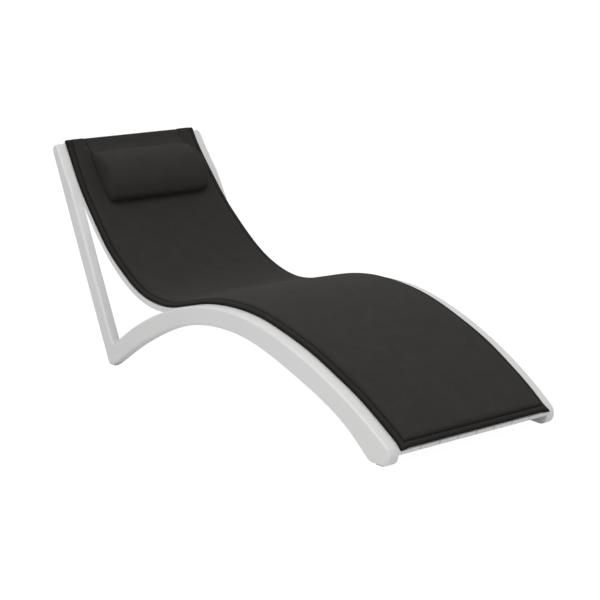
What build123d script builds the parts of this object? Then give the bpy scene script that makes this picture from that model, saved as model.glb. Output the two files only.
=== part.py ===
"""Slatted sun lounger with a seat pad and a head pillow.

+X runs from the head to the foot, +Y to the sitter's left, +Z up. The origin is on the floor,
under the middle of the whole outline. Every piece follows one line, the deck line: the upper
surface of the slats in side view. A place on it is a station, the distance along the line from
the head end, and a depth, the distance square to the line, positive below the slats' top.
"""
from build123d import *
import math
import os

os.makedirs("parts", exist_ok=True)

# Deck line, from the head to the foot: radius and turn of each run (a left turn is a hollow)
head_slope = -58.5
back_radius = 1130.0
back_turn = 17.5
lumbar_radius = 620.0
lumbar_turn = 14.0
seat_radius = 352.0
seat_turn = 42.0
rise_length = 88.0
knee_radius = 700.0
knee_turn = -29.0
calf_radius = 1245.0
calf_turn = -22.4

# Plan: both sides bow outwards on one large radius, widest at the knees
overall_width = 600.0
bow_radius = 10900.0
widest_beyond_middle = 185.0

# Side frames
frame_thickness = 36.4
seam_gap = 0.6
frame_step = 5.0
frame_depth_at_thigh = 59.0
frame_depth_at_knee = 50.0
frame_depth_at_calf = 56.0
frame_depth_at_foot = 59.0
head_depth = 26.9
head_round = 10.5
leg_lean = 28.2
leg_width = 38.0
heel_radius = 30.0
arch_width = 48.0
arch_blend_radius = 240.0
arch_run = 190.0
arch_corner_before = 149.0
crotch_round = 12.0
leg_blend_radius = 180.0
outer_edge_chamfer = 6.0
inner_edge_chamfer = 2.0
front_foot_round = 27.0

# Slats
slat_count = 8
slat_thickness = 14.0
slat_skin = 3.5
slat_wall = 3.5
slat_gap = 3.0
outer_slat_share = 0.726
deck_beyond_frame = 14.0

# Cross rails and battens under the slats
rail_width = 36.0
rail_height = 16.0
rail_wall = 3.2
rib_length = 30.0
seat_clearance = 0.3
end_plate_thickness = 4.5
end_plate_depth = 47.0
batten_beyond = 6.3
outer_screw_in = 9.0

# Fasteners
slat_screw_radius = 2.0
slat_screw_head_radius = 4.0
slat_screw_head_height = 2.0
slat_screw_bite = 9.0
screw_seat = 0.1
screw_clearance = 0.25
frame_screw_radius = 2.5
frame_screw_head_radius = 4.5
frame_screw_head_height = 2.6
frame_screw_bite = 13.0
frame_screw_spacing = 16.0
shank_sides = 4
screw_head_sides = 6

# Glides under the feet
glide_length = 24.0
glide_width = 16.0
glide_height = 9.0
glide_proud = 1.5
glide_clearance = 0.2
glide_edge = 1.0

# Seat pad
pad_inset = 4.0
pad_flange = 7.0
pad_flange_width = 25.0
pad_edge_height = 25.0
pad_crown_height = 34.0
pad_head_start = 3.0
pad_foot_margin = 6.0
pad_end_hollow = 5.0
pad_end_height = 14.0
pad_head_ramp = 42.0
pad_foot_ramp = 16.0
pad_clearance = 0.3

# Ties that hold the pad to the slats
tie_width = 20.0
tie_thickness = 1.4

# Pillow: side view as stations and heights above the slats
pillow_inset = 55.0
pillow_end_draw = 9.0
end_low_share = 0.45
end_high_share = 0.7
pillow_top_at = 58.0
pillow_top_height = 40.0
pillow_brow_at = 98.0
pillow_brow_height = 82.0
pillow_crest_at = 155.0
pillow_crest_height = 94.0
pillow_nose_at = 221.0
pillow_nose_height = 58.0
pillow_foot_at = 218.0
pillow_clearance = 0.5

# Strap that carries the pillow over the head end, and the weight that balances it
strap_inset = 9.0
strap_thickness = 2.4
strap_clearance = 0.6
strap_bend = 2.0
strap_part_gap = 0.3
flap_ends_at = 27.0
wrap_hang = 12.0
rear_strap_length = 128.0
weight_height = 52.0
weight_thickness = 16.0
weight_round = 6.0

# One overrun for every cut that has to pass a face
overrun = 20.0

# Places along the deck as shares of one run, so that they move with it
back_run, lumbar_run, seat_run, rise_run, knee_run, calf_run = range(6)
head_rail_share = 0.255
lumbar_batten_share = 0.956
seat_batten_share = 0.304
thigh_rail_share = 0.65
knee_rail_share = 0.53
calf_rail_share = 0.19
foot_rail_share = 0.725
arch_meets_share = 0.91
frame_thigh_share = 0.06
frame_knee_share = 0.47
frame_calf_share = 0.27
head_tie_share = 0.61
foot_tie_share = 0.58

quarter_turn = 90
halvings = 40


def runs():
    """Radius and turn of each run of the deck line; the rise is straight."""
    return [
        (back_radius, back_turn),
        (lumbar_radius, lumbar_turn),
        (seat_radius, seat_turn),
        (rise_length, 0),
        (knee_radius, knee_turn),
        (calf_radius, calf_turn),
    ]


def run_length(radius, turn):
    """Length of one run; a straight run states its length in place of a radius."""
    return radius * math.radians(abs(turn)) if turn else radius


run_lengths = [run_length(radius, turn) for radius, turn in runs()]
deck_length = sum(run_lengths)


def station_in(run, share):
    """Station at a share of one run."""
    return sum(run_lengths[:run]) + share * run_lengths[run]


head_rail_at = station_in(back_run, head_rail_share)
lumbar_batten_at = station_in(back_run, lumbar_batten_share)
seat_batten_at = station_in(seat_run, seat_batten_share)
thigh_rail_at = station_in(rise_run, thigh_rail_share)
knee_rail_at = station_in(knee_run, knee_rail_share)
calf_rail_at = station_in(calf_run, calf_rail_share)
foot_rail_at = station_in(calf_run, foot_rail_share)
arch_top_meets = station_in(rise_run, arch_meets_share)
thigh_at = station_in(rise_run, frame_thigh_share)
knee_at = station_in(knee_run, frame_knee_share)
calf_at = station_in(calf_run, frame_calf_share)
head_tie_at = station_in(back_run, head_tie_share)
foot_tie_at = station_in(calf_run, foot_tie_share)


def advance(x, z, heading, radius, turn, share):
    """Point and heading after a share of one run."""
    if not turn:
        return (
            x + radius * share * math.cos(math.radians(heading)),
            z + radius * share * math.sin(math.radians(heading)),
            heading,
        )
    side = math.copysign(1, turn)
    begin = math.radians(heading)
    end = math.radians(heading + turn * share)
    return (
        x + side * radius * (math.sin(end) - math.sin(begin)),
        z - side * radius * (math.cos(end) - math.cos(begin)),
        heading + turn * share,
    )


def walk_from_head(station):
    """Place and heading at a station, measured from the deck's head end."""
    x, z, heading = 0, 0, head_slope
    left = min(max(station, 0), deck_length)
    for radius, turn in runs():
        length = run_length(radius, turn)
        x, z, heading = advance(x, z, heading, radius, turn, min(left / length, 1))
        left = left - length
        if left <= 0:
            break
    beyond = station - min(max(station, 0), deck_length)
    x = x + beyond * math.cos(math.radians(heading))
    z = z + beyond * math.sin(math.radians(heading))
    return x, z, heading


# The frame ends in a round front foot that stands on its glide
frame_end_at = deck_length - deck_beyond_frame - front_foot_round / 2
end_heading = walk_from_head(frame_end_at)[2]
foot_centre_depth = frame_step + front_foot_round
deck_lift = (
    glide_proud
    + front_foot_round
    + foot_centre_depth * math.cos(math.radians(end_heading))
    - walk_from_head(frame_end_at)[1]
)
tip_x = walk_from_head(deck_length)[0]

# Reach of the frame's rounded head behind the deck line, and half the overall length
head_corner = 2 * quarter_turn + head_slope - leg_lean
head_tilt = (head_slope + leg_lean) / 2
round_share = math.cos(math.radians(head_tilt)) / math.sin(math.radians(head_corner / 2)) - 1
head_back = (
    (frame_step + head_depth) * math.cos(math.radians(head_slope + quarter_turn))
    - head_round * round_share
)
half_length = (tip_x + head_back) / 2
deck_shift = head_back - half_length
plan_reach = half_length + overrun


def walk(station, depth=0):
    """Place (x, z) at a station and depth."""
    x, z, heading = walk_from_head(station)
    angle = math.radians(heading)
    return (
        x + deck_shift + depth * math.sin(angle),
        z + deck_lift - depth * math.cos(angle),
    )


def heading_at(station):
    """Direction of the deck line at a station, in degrees above level."""
    return walk_from_head(station)[2]


def trace_deck(depth, start, stop):
    """Arcs and lines of the deck line at one depth, between two stations, for a BuildLine."""
    passed = 0
    for radius, turn in runs():
        length = run_length(radius, turn)
        low = max(start, passed)
        high = min(stop, passed + length)
        passed = passed + length
        if high <= low:
            continue
        angle = math.radians(heading_at(low))
        if turn:
            JernArc(
                start=walk(low, depth),
                tangent=(math.cos(angle), math.sin(angle)),
                radius=radius + depth * math.copysign(1, turn),
                arc_size=turn * (high - low) / length,
            )
        else:
            Line(walk(low, depth), walk(high, depth))


def deck_band(top, bottom, start, stop):
    """Edges round the band between two depths and two stations, for a sketch on Plane.XZ."""
    with BuildLine() as outline:
        trace_deck(top, start, stop)
        Line(walk(stop, top), walk(stop, bottom))
        trace_deck(bottom, start, stop)
        Line(walk(start, bottom), walk(start, top))
    return outline.edges()


def deck_polygon(*places):
    """Edges of a straight-sided shape through (station, height) places, for Plane.XZ."""
    with BuildLine() as outline:
        Polyline(*[walk(station, -height) for station, height in places], close=True)
    return outline.edges()


def section_plane(station):
    """Plane square to the deck: local x runs to +Y, local y upwards, normal along the deck."""
    x, z = walk(station)
    angle = math.radians(heading_at(station))
    return Plane(
        origin=(x, 0, z),
        x_dir=(0, 1, 0),
        z_dir=(math.cos(angle), 0, math.sin(angle)),
    )


# Half-widths at the widest place: the frames' outer faces, their inner faces, the deck's edges
half_width = overall_width / 2
frame_inner = half_width - frame_thickness
deck_half = frame_inner - seam_gap
widest_x = widest_beyond_middle


def side_y(x, half):
    """Half-width at x of the bowed edge whose greatest half-width is half."""
    return half - bow_radius + math.sqrt(bow_radius ** 2 - (x - widest_x) ** 2)


def bowed_edge(half, side):
    """One bowed edge in plan, for a BuildLine: side is 1 on the left and -1 on the right."""
    ThreePointArc(
        (-plan_reach, side * side_y(-plan_reach, half)),
        (widest_x, side * half),
        (plan_reach, side * side_y(plan_reach, half)),
    )


def bowed_strip(inner, outer):
    """Edges round the plan strip between two bowed edges; a minus value is on the right."""
    with BuildLine() as outline:
        for half in (inner, outer):
            bowed_edge(abs(half), math.copysign(1, half))
        for x in (-plan_reach, plan_reach):
            Line(
                (x, math.copysign(side_y(x, abs(inner)), inner)),
                (x, math.copysign(side_y(x, abs(outer)), outer)),
            )
    return outline.edges()


# Widths that follow the deck's narrowest place, at its head end
narrow_half = side_y(walk(0)[0], deck_half)
inner_slat_pitch = narrow_half / (slat_count / 2 - 1 + outer_slat_share)
pillow_half = narrow_half - pillow_inset
strap_half = pillow_half - strap_inset


# Side frames

leg_angle = quarter_turn + leg_lean


def step_from(point, angle, reach):
    """Point reached from a point by a length in a direction, in side view."""
    return (
        point[0] + reach * math.cos(math.radians(angle)),
        point[1] + reach * math.sin(math.radians(angle)),
    )


def meet(point, angle, other, other_angle):
    """Crossing of two lines in side view, each given by a point and a direction."""
    ax, az = step_from((0, 0), angle, 1)
    bx, bz = step_from((0, 0), other_angle, 1)
    across = ax * bz - az * bx
    reach = ((other[0] - point[0]) * bz - (other[1] - point[1]) * bx) / across
    return step_from(point, angle, reach)


head_front = walk(0, frame_step)
head_rear = walk(0, frame_step + head_depth)
heel_height = heel_radius + glide_proud
rear_foot_centre = meet(
    step_from(head_rear, leg_angle - quarter_turn, heel_radius), leg_angle, (0, heel_height), 0
)
heel_point = step_from(rear_foot_centre, leg_angle + quarter_turn, heel_radius)
heel_bottom = step_from(rear_foot_centre, -quarter_turn, heel_radius)
leg_front = step_from(heel_point, leg_angle - quarter_turn, leg_width)
arch_top_end = walk(arch_top_meets, frame_step)
arch_corner = step_from(arch_top_end, heading_at(arch_top_meets), -arch_corner_before)
# The arch's lower line touches the heel's circle; its upper line runs parallel into the corner
corner_reach = math.dist(rear_foot_centre, arch_corner)
corner_climb = math.atan2(
    arch_corner[1] - rear_foot_centre[1], arch_corner[0] - rear_foot_centre[0]
)
arch_rise = math.degrees(corner_climb - math.asin((arch_width - heel_radius) / corner_reach))
sole_point = step_from(rear_foot_centre, arch_rise - quarter_turn, heel_radius)
crotch = meet(leg_front, leg_angle, arch_corner, arch_rise)
foot_centre = walk(frame_end_at, foot_centre_depth)


def leg_leaves_at():
    """Station where the leg's front line meets the frame's upper face."""
    low, high = 0, thigh_at
    for halving in range(halvings):
        middle = (low + high) / 2
        place = walk(middle, frame_step)
        ahead = meet(leg_front, leg_angle, place, 0)[0]
        low, high = (middle, high) if place[0] < ahead else (low, middle)
    return low


leg_leaves = leg_leaves_at()


def frame_profile():
    """Side view of a frame: head, straight rear leg, heel, arch, rail and rounded front foot."""
    with BuildLine() as outline:
        trace_deck(frame_step, 0, leg_leaves)
        Line(walk(leg_leaves, frame_step), crotch)
        Line(crotch, arch_corner)
        Line(arch_corner, arch_top_end)
        trace_deck(frame_step, arch_top_meets, frame_end_at)
        tip = step_from(foot_centre, end_heading, front_foot_round)
        foot_bottom = walk(frame_end_at, frame_step + 2 * front_foot_round)
        ThreePointArc(walk(frame_end_at, frame_step), tip, foot_bottom)
        arch_start = step_from(sole_point, arch_rise, arch_run)
        Spline(
            arch_start,
            walk(thigh_at, frame_depth_at_thigh),
            walk(knee_at, frame_depth_at_knee),
            walk(calf_at, frame_depth_at_calf),
            foot_bottom,
            tangents=[step_from((0, 0), arch_rise, 1), step_from((0, 0), end_heading, 1)],
        )
        Line(arch_start, sole_point)
        ThreePointArc(sole_point, heel_bottom, heel_point)
        Line(heel_point, head_rear)
        Line(head_rear, head_front)
    return outline.edges()


def near_corner(profile, place):
    """Corner of the sketch being drawn, closest to a place in side view."""
    return profile.vertices().sort_by_distance((place[0], place[1], 0))[0]


def side_plane(x, y, z, side):
    """Upright plane through a point, facing +Y where side is 1; local x runs along +X."""
    return Plane(origin=(x, y, z), x_dir=(1, 0, 0), z_dir=(0, side, 0))


def broad_sides(part):
    """Both broad side faces of a piece that stands on edge, the inner one first."""
    return part.faces().sort_by(SortBy.AREA)[-2:].sort_by(Axis.Y)


def local_place(station, along, depth):
    """Place in side view, given along the deck's tangent and square to it at a station."""
    return step_from(walk(station, depth), heading_at(station), along)


# Rails that reach the frames, with the depth their end plates go down to
rail_top = slat_thickness + seat_clearance
rail_bottom = rail_top + rail_height
plated_rails = {
    "head_rail": (head_rail_at, rail_bottom),
    "thigh_rail": (thigh_rail_at, end_plate_depth),
    "knee_rail": (knee_rail_at, end_plate_depth),
    "calf_rail": (calf_rail_at, end_plate_depth),
    "foot_rail": (foot_rail_at, end_plate_depth),
}
battens = {"lumbar_batten": lumbar_batten_at, "seat_batten": seat_batten_at}


plate_outer = frame_inner - seat_clearance


def plate_face(station):
    """Cross position of the inner face of a rail's left end plate."""
    return side_y(walk(station)[0], plate_outer) - end_plate_thickness


def plate_screws(station, bottom):
    """Places of the two screws of an end plate in side view."""
    return [
        local_place(station, share * frame_screw_spacing, (rail_top + bottom) / 2)
        for share in (-0.5, 0.5)
    ]


with BuildPart() as side_frame_left:
    with BuildSketch(Plane.XZ) as profile:
        make_face(frame_profile())
        fillet(near_corner(profile, arch_corner), radius=arch_blend_radius)
        fillet(near_corner(profile, crotch), radius=crotch_round)
        fillet(near_corner(profile, walk(leg_leaves, frame_step)), radius=leg_blend_radius)
        fillet(near_corner(profile, head_rear), radius=head_round)
        fillet(near_corner(profile, head_front), radius=head_round)
    extrude(amount=half_width + overrun, both=True)
    with BuildSketch(Plane.XY.offset(-overrun)):
        make_face(bowed_strip(frame_inner, half_width))
    extrude(amount=plan_reach, mode=Mode.INTERSECT)
    chamfer(broad_sides(side_frame_left)[-1].edges(), outer_edge_chamfer)
    chamfer(broad_sides(side_frame_left)[0].edges(), inner_edge_chamfer)
    # Pockets for the glides
    for x in (rear_foot_centre[0], foot_centre[0]):
        with BuildSketch(Plane.XY.offset(-overrun)):
            with Locations((x, side_y(x, half_width) - frame_thickness / 2)):
                Rectangle(glide_length + 2 * glide_clearance, glide_width + 2 * glide_clearance)
        extrude(amount=overrun + glide_height + glide_clearance, mode=Mode.SUBTRACT)
    # Pilot holes for the screws of the rails' end plates
    for station, bottom in plated_rails.values():
        for x, z in plate_screws(station, bottom):
            with BuildSketch(side_plane(x, plate_face(station), z, 1)):
                RegularPolygon(frame_screw_radius + screw_clearance, shank_sides)
            extrude(
                amount=end_plate_thickness + frame_screw_bite + screw_clearance,
                mode=Mode.SUBTRACT,
            )


def keep(part, label):
    """Label a piece and write its file."""
    part.label = label
    export_step(part, f"parts/{label}.step")


def keep_pair(left, label):
    """Write a piece of the left side and its mirror image."""
    keep(left, f"{label}_left")
    with BuildPart() as right:
        add(left)
        mirror(about=Plane.XZ, mode=Mode.REPLACE)
    keep(right.part, f"{label}_right")


keep_pair(side_frame_left.part, "side_frame")


# Glides: plugs pushed into the feet

for x, place in ((rear_foot_centre[0], "rear"), (foot_centre[0], "front")):
    with BuildPart() as glide:
        with BuildSketch():
            with Locations((x, side_y(x, half_width) - frame_thickness / 2)):
                Rectangle(glide_length, glide_width)
        extrude(amount=glide_height)
        chamfer(glide.faces().sort_by(Axis.Z)[0].edges(), glide_edge)
    keep_pair(glide.part, f"{place}_glide")


# Slats: moulded staves, open below between ribs where the rails cross

cross_stations = sorted([station for station, _ in plated_rails.values()] + list(battens.values()))


def slat_outline(number, inset):
    """Plan edges of a slat on the left half, drawn in by an inset; number 0 is the innermost."""
    low = number * inner_slat_pitch + slat_gap / 2 + inset
    high = (number + 1) * inner_slat_pitch - slat_gap / 2 - inset
    with BuildLine() as outline:
        if number < slat_count / 2 - 1:
            Polyline(
                (-plan_reach, low),
                (plan_reach, low),
                (plan_reach, high),
                (-plan_reach, high),
                close=True,
            )
        else:
            bowed_edge(deck_half - inset, 1)
            Polyline(
                (-plan_reach, side_y(-plan_reach, deck_half - inset)),
                (-plan_reach, low),
                (plan_reach, low),
                (plan_reach, side_y(plan_reach, deck_half - inset)),
            )
    return outline.edges()


# Each pocket's roof is straight between four places, near enough to the curve for its thickness
pocket_shares = (0, 0.33, 0.67, 1)
pocket_mouth = slat_thickness + overrun
pocket_starts = [slat_wall] + [station + rib_length / 2 for station in cross_stations]
pocket_stops = [station - rib_length / 2 for station in cross_stations] + [deck_length - slat_wall]
pockets = []
for number in range(slat_count // 2):
    with BuildPart() as pocket:
        for start, stop in zip(pocket_starts, pocket_stops):
            roof = [(start + (stop - start) * share, -slat_skin) for share in pocket_shares]
            with BuildSketch(Plane.XZ):
                make_face(
                    deck_polygon((start, -pocket_mouth), *roof, (stop, -pocket_mouth))
                )
            extrude(amount=half_width, both=True)
        with BuildSketch():
            make_face(slat_outline(number, slat_wall))
        extrude(amount=plan_reach, mode=Mode.INTERSECT)
    pockets.append(pocket)


def slat_middle(number):
    """Cross position of the screws in a slat of the left half."""
    if number < slat_count / 2 - 1:
        return (number + 0.5) * inner_slat_pitch
    return number * inner_slat_pitch + slat_gap / 2 + outer_screw_in


def deck_plane(station, depth):
    """Plane parallel to the deck at a station and depth: local x along it, normal upwards."""
    x, z = walk(station, depth)
    angle = math.radians(heading_at(station))
    return Plane(
        origin=(x, 0, z),
        x_dir=(math.cos(angle), 0, math.sin(angle)),
        z_dir=(-math.sin(angle), 0, math.cos(angle)),
    )


for number in range(slat_count // 2):
    with BuildPart() as slat:
        with BuildSketch(Plane.XZ):
            make_face(deck_band(0, slat_thickness, 0, deck_length))
        extrude(amount=half_width, both=True)
        with BuildSketch():
            make_face(slat_outline(number, 0))
        extrude(amount=plan_reach, mode=Mode.INTERSECT)
        add(pockets[number].part, mode=Mode.SUBTRACT)
        # Pilot holes for the screws that come up through the rails
        for station in cross_stations:
            with BuildSketch(deck_plane(station, slat_thickness + overrun)):
                with Locations((0, slat_middle(number))):
                    RegularPolygon(slat_screw_radius + screw_clearance, shank_sides)
            extrude(amount=overrun + slat_screw_bite + screw_clearance, mode=Mode.SUBTRACT)
    keep_pair(slat.part, f"slat_{number + 1}")


# Cross rails and battens: bars with an open underside, under the slats

screw_rows = [sign * slat_middle(number) for number in range(slat_count // 2) for sign in (-1, 1)]


def cross_bar(station):
    """Bar of the full width across the deck, hollow below, drilled for the slat screws."""
    low = station - rail_width / 2
    high = station + rail_width / 2
    with BuildPart() as bar:
        with BuildSketch(Plane.XZ):
            make_face(deck_band(rail_top, rail_bottom, low, high))
        extrude(amount=half_width, both=True)
        with BuildSketch(Plane.XZ):
            make_face(
                deck_band(
                    rail_top + rail_wall, rail_bottom + overrun, low + rail_wall, high - rail_wall
                )
            )
        extrude(amount=half_width, both=True, mode=Mode.SUBTRACT)
        with BuildSketch(deck_plane(station, rail_bottom)):
            with Locations(*[(0, y) for y in screw_rows]):
                RegularPolygon(slat_screw_radius + screw_clearance, shank_sides)
        extrude(amount=rail_height + overrun, mode=Mode.SUBTRACT)
    return bar.part


for name, (station, bottom) in plated_rails.items():
    with BuildPart() as rail:
        add(cross_bar(station))
        for side in (-1, 1):
            with BuildSketch(Plane.XZ.offset(side * plate_face(station))):
                make_face(
                    deck_band(rail_top, bottom, station - rail_width / 2, station + rail_width / 2)
                )
            extrude(amount=side * overrun)
        with BuildSketch(Plane.XY):
            make_face(bowed_strip(-plate_outer, plate_outer))
        extrude(amount=plan_reach, mode=Mode.INTERSECT)
        with BuildSketch(Plane.XZ):
            with Locations(*plate_screws(station, bottom)):
                RegularPolygon(frame_screw_radius + screw_clearance, shank_sides)
        extrude(amount=half_width, both=True, mode=Mode.SUBTRACT)
    keep(rail.part, name)

batten_half = slat_middle(slat_count // 2 - 1) + batten_beyond
for name, station in battens.items():
    with BuildPart() as batten:
        add(cross_bar(station))
        with BuildSketch():
            Rectangle(2 * plan_reach, 2 * batten_half)
        extrude(amount=plan_reach, mode=Mode.INTERSECT)
    keep(batten.part, name)


# Screws; each kind is one group of separate solids

with BuildPart() as slat_screws:
    for station in cross_stations:
        head_depth_at = rail_top + rail_wall + screw_seat
        with BuildSketch(deck_plane(station, head_depth_at + slat_screw_head_height)):
            with Locations(*[(0, y) for y in screw_rows]):
                RegularPolygon(slat_screw_head_radius, screw_head_sides)
        extrude(amount=slat_screw_head_height)
        with BuildSketch(deck_plane(station, head_depth_at)):
            with Locations(*[(0, y) for y in screw_rows]):
                RegularPolygon(slat_screw_radius, shank_sides)
        extrude(amount=head_depth_at - slat_thickness + slat_screw_bite)
keep(slat_screws.part, "slat_screws")

with BuildPart() as frame_screws:
    for station, bottom in plated_rails.values():
        for x, z in plate_screws(station, bottom):
            with BuildSketch(side_plane(x, plate_face(station) - screw_seat, z, 1)):
                RegularPolygon(frame_screw_radius, shank_sides)
            extrude(amount=end_plate_thickness + frame_screw_bite)
            with BuildSketch(side_plane(x, plate_face(station) - screw_seat, z, -1)):
                RegularPolygon(frame_screw_head_radius, screw_head_sides)
            extrude(amount=frame_screw_head_height)
keep_pair(frame_screws.part, "frame_screws")


# Seat pad: a thin sewn border all round a raised, crowned panel

pad_half = deck_half - pad_inset
panel_half = pad_half - pad_flange_width
pad_end = deck_length - pad_foot_margin
panel_start = pad_head_start + pad_flange_width
panel_end = pad_end - pad_flange_width


with BuildPart() as panel:
    with BuildLine(Plane.XZ) as panel_line:
        trace_deck(0, panel_start, panel_end)
    with BuildSketch(section_plane(panel_start)):
        with BuildLine():
            Polyline(
                (half_width, pad_edge_height),
                (half_width, pad_clearance),
                (-half_width, pad_clearance),
                (-half_width, pad_edge_height),
            )
            ThreePointArc(
                (half_width, pad_edge_height),
                (0, pad_crown_height),
                (-half_width, pad_edge_height),
            )
        make_face()
    sweep(path=panel_line.wires()[0])
    with BuildSketch():
        make_face(bowed_strip(-panel_half, panel_half))
    extrude(amount=plan_reach, mode=Mode.INTERSECT)
    with BuildSketch(Plane.XZ):
        for end, reach in ((panel_start, pad_head_ramp), (panel_end, -pad_foot_ramp)):
            beyond = end - math.copysign(overrun, reach)
            make_face(
                deck_polygon(
                    (end, pad_end_height),
                    (end + reach, pad_crown_height),
                    (end + reach, pad_crown_height + overrun),
                    (beyond, pad_crown_height + overrun),
                    (beyond, pad_end_height),
                )
            )
    extrude(amount=half_width, both=True, mode=Mode.SUBTRACT)

with BuildPart() as seat_pad:
    with BuildSketch(Plane.XZ):
        make_face(deck_band(-pad_clearance, -pad_flange, pad_head_start, pad_end))
    extrude(amount=half_width, both=True)
    with BuildSketch():
        make_face(bowed_strip(-pad_half, pad_half))
    extrude(amount=plan_reach, mode=Mode.INTERSECT)
    # Both ends are drawn in between their corners
    for station, turned in ((pad_head_start, 1), (pad_end, -1)):
        corner = side_y(walk(station)[0], pad_half)
        with BuildSketch(deck_plane(station, overrun)):
            with BuildLine():
                ThreePointArc((0, corner), (turned * pad_end_hollow, 0), (0, -corner))
                Line((0, -corner), (-turned * overrun, -corner))
                Line((-turned * overrun, -corner), (-turned * overrun, corner))
                Line((-turned * overrun, corner), (0, corner))
            make_face()
        extrude(amount=2 * overrun, mode=Mode.SUBTRACT)
    add(panel.part)
keep(seat_pad.part, "seat_pad")


# Ties: straps through the gaps between slats, under one slat on each side

for name, station in (("head_ties", head_tie_at), ("foot_ties", foot_tie_at)):
    with BuildPart() as ties:
        with BuildSketch(section_plane(station)):
            low = inner_slat_pitch - tie_thickness / 2
            high = 2 * inner_slat_pitch + tie_thickness / 2
            under = -slat_thickness - seat_clearance
            for y in (low, high - tie_thickness):
                with Locations((y, pad_clearance / 2)):
                    Rectangle(
                        tie_thickness,
                        pad_clearance / 2 - under + tie_thickness,
                        align=(Align.MIN, Align.MAX),
                    )
            with Locations((low, under)):
                Rectangle(high - low, tie_thickness, align=(Align.MIN, Align.MAX))
            mirror(about=Plane.YZ)
        extrude(amount=tie_width / 2, both=True)
    keep(ties.part, name)


# Pillow: a bolster lying on the pad, its back following the pad's crown

pillow_lift = pad_crown_height + pillow_clearance
with BuildPart() as pillow:
    with BuildSketch(Plane.XZ):
        with BuildLine():
            trace_deck(-pillow_lift, pillow_top_at, pillow_foot_at)
            Line(walk(pillow_top_at, -pillow_lift), walk(pillow_top_at, -pillow_top_height))
            Spline(
                walk(pillow_top_at, -pillow_top_height),
                walk(pillow_brow_at, -pillow_brow_height),
                walk(pillow_crest_at, -pillow_crest_height),
                walk(pillow_nose_at, -pillow_nose_height),
                walk(pillow_foot_at, -pillow_lift),
            )
        make_face()
    extrude(amount=pillow_half, both=True)
    # Both ends bulge at half height and are drawn in towards the pad and the crest
    with BuildSketch(section_plane(pillow_crest_at)):
        drawn_half = pillow_half - pillow_end_draw
        with BuildLine():
            Polyline(
                (drawn_half, 0),
                (pillow_half, pillow_crest_height * end_low_share),
                (pillow_half, pillow_crest_height * end_high_share),
                (drawn_half, pillow_crest_height),
                (-drawn_half, pillow_crest_height),
                (-pillow_half, pillow_crest_height * end_high_share),
                (-pillow_half, pillow_crest_height * end_low_share),
                (-drawn_half, 0),
                close=True,
            )
        make_face()
    extrude(amount=half_width, both=True, mode=Mode.INTERSECT)
keep(pillow.part, "pillow")


# Strap from the pillow over the head end, and its weight behind the back

ramp_rise = (pad_crown_height - pad_end_height) / pad_head_ramp


def ramp_height(station):
    """Height of the strap's underside over the pad's ramp at its head end."""
    return pad_end_height + (station - panel_start) * ramp_rise + strap_clearance * 2


flap_top = pillow_top_at - strap_part_gap
with BuildPart() as pillow_flap:
    with BuildSketch(Plane.XZ):
        make_face(
            deck_polygon(
                (flap_top, ramp_height(flap_top)),
                (flap_ends_at + strap_part_gap, ramp_height(flap_ends_at)),
                (flap_ends_at + strap_part_gap, ramp_height(flap_ends_at) + strap_thickness),
                (flap_top, ramp_height(flap_top) + strap_thickness),
            )
        )
    extrude(amount=strap_half, both=True)
keep(pillow_flap.part, "pillow_flap")

wrap_corner = walk(-strap_clearance, slat_thickness + strap_clearance)
wrap_end = (wrap_corner[0], wrap_corner[1] - wrap_hang)
with BuildPart() as flap_wrap:
    with BuildSketch(Plane.XZ) as wrap_profile:
        with BuildLine():
            FilletPolyline(
                walk(flap_ends_at, -ramp_height(flap_ends_at)),
                walk(pad_head_start - strap_clearance, -pad_flange - strap_clearance),
                walk(-strap_clearance, -strap_clearance),
                wrap_corner,
                wrap_end,
                radius=strap_bend,
            )
            offset(amount=strap_thickness, side=Side.RIGHT, closed=True)
        make_face()
    extrude(amount=strap_half, both=True)
keep(flap_wrap.part, "flap_wrap")

strap_x = wrap_end[0] - strap_thickness / 2
strap_z = wrap_end[1] - strap_part_gap
with BuildPart() as rear_strap:
    with BuildSketch(Plane.XY.offset(strap_z)):
        with Locations((strap_x, 0)):
            Rectangle(strap_thickness, 2 * strap_half)
    extrude(amount=-rear_strap_length)
keep(rear_strap.part, "rear_strap")

with BuildPart() as counterweight:
    with BuildSketch(Plane.XZ):
        with Locations((strap_x, strap_z - rear_strap_length - strap_part_gap)):
            RectangleRounded(
                weight_thickness, weight_height, weight_round, align=(Align.CENTER, Align.MAX)
            )
    extrude(amount=strap_half, both=True)
keep(counterweight.part, "counterweight")
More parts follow.
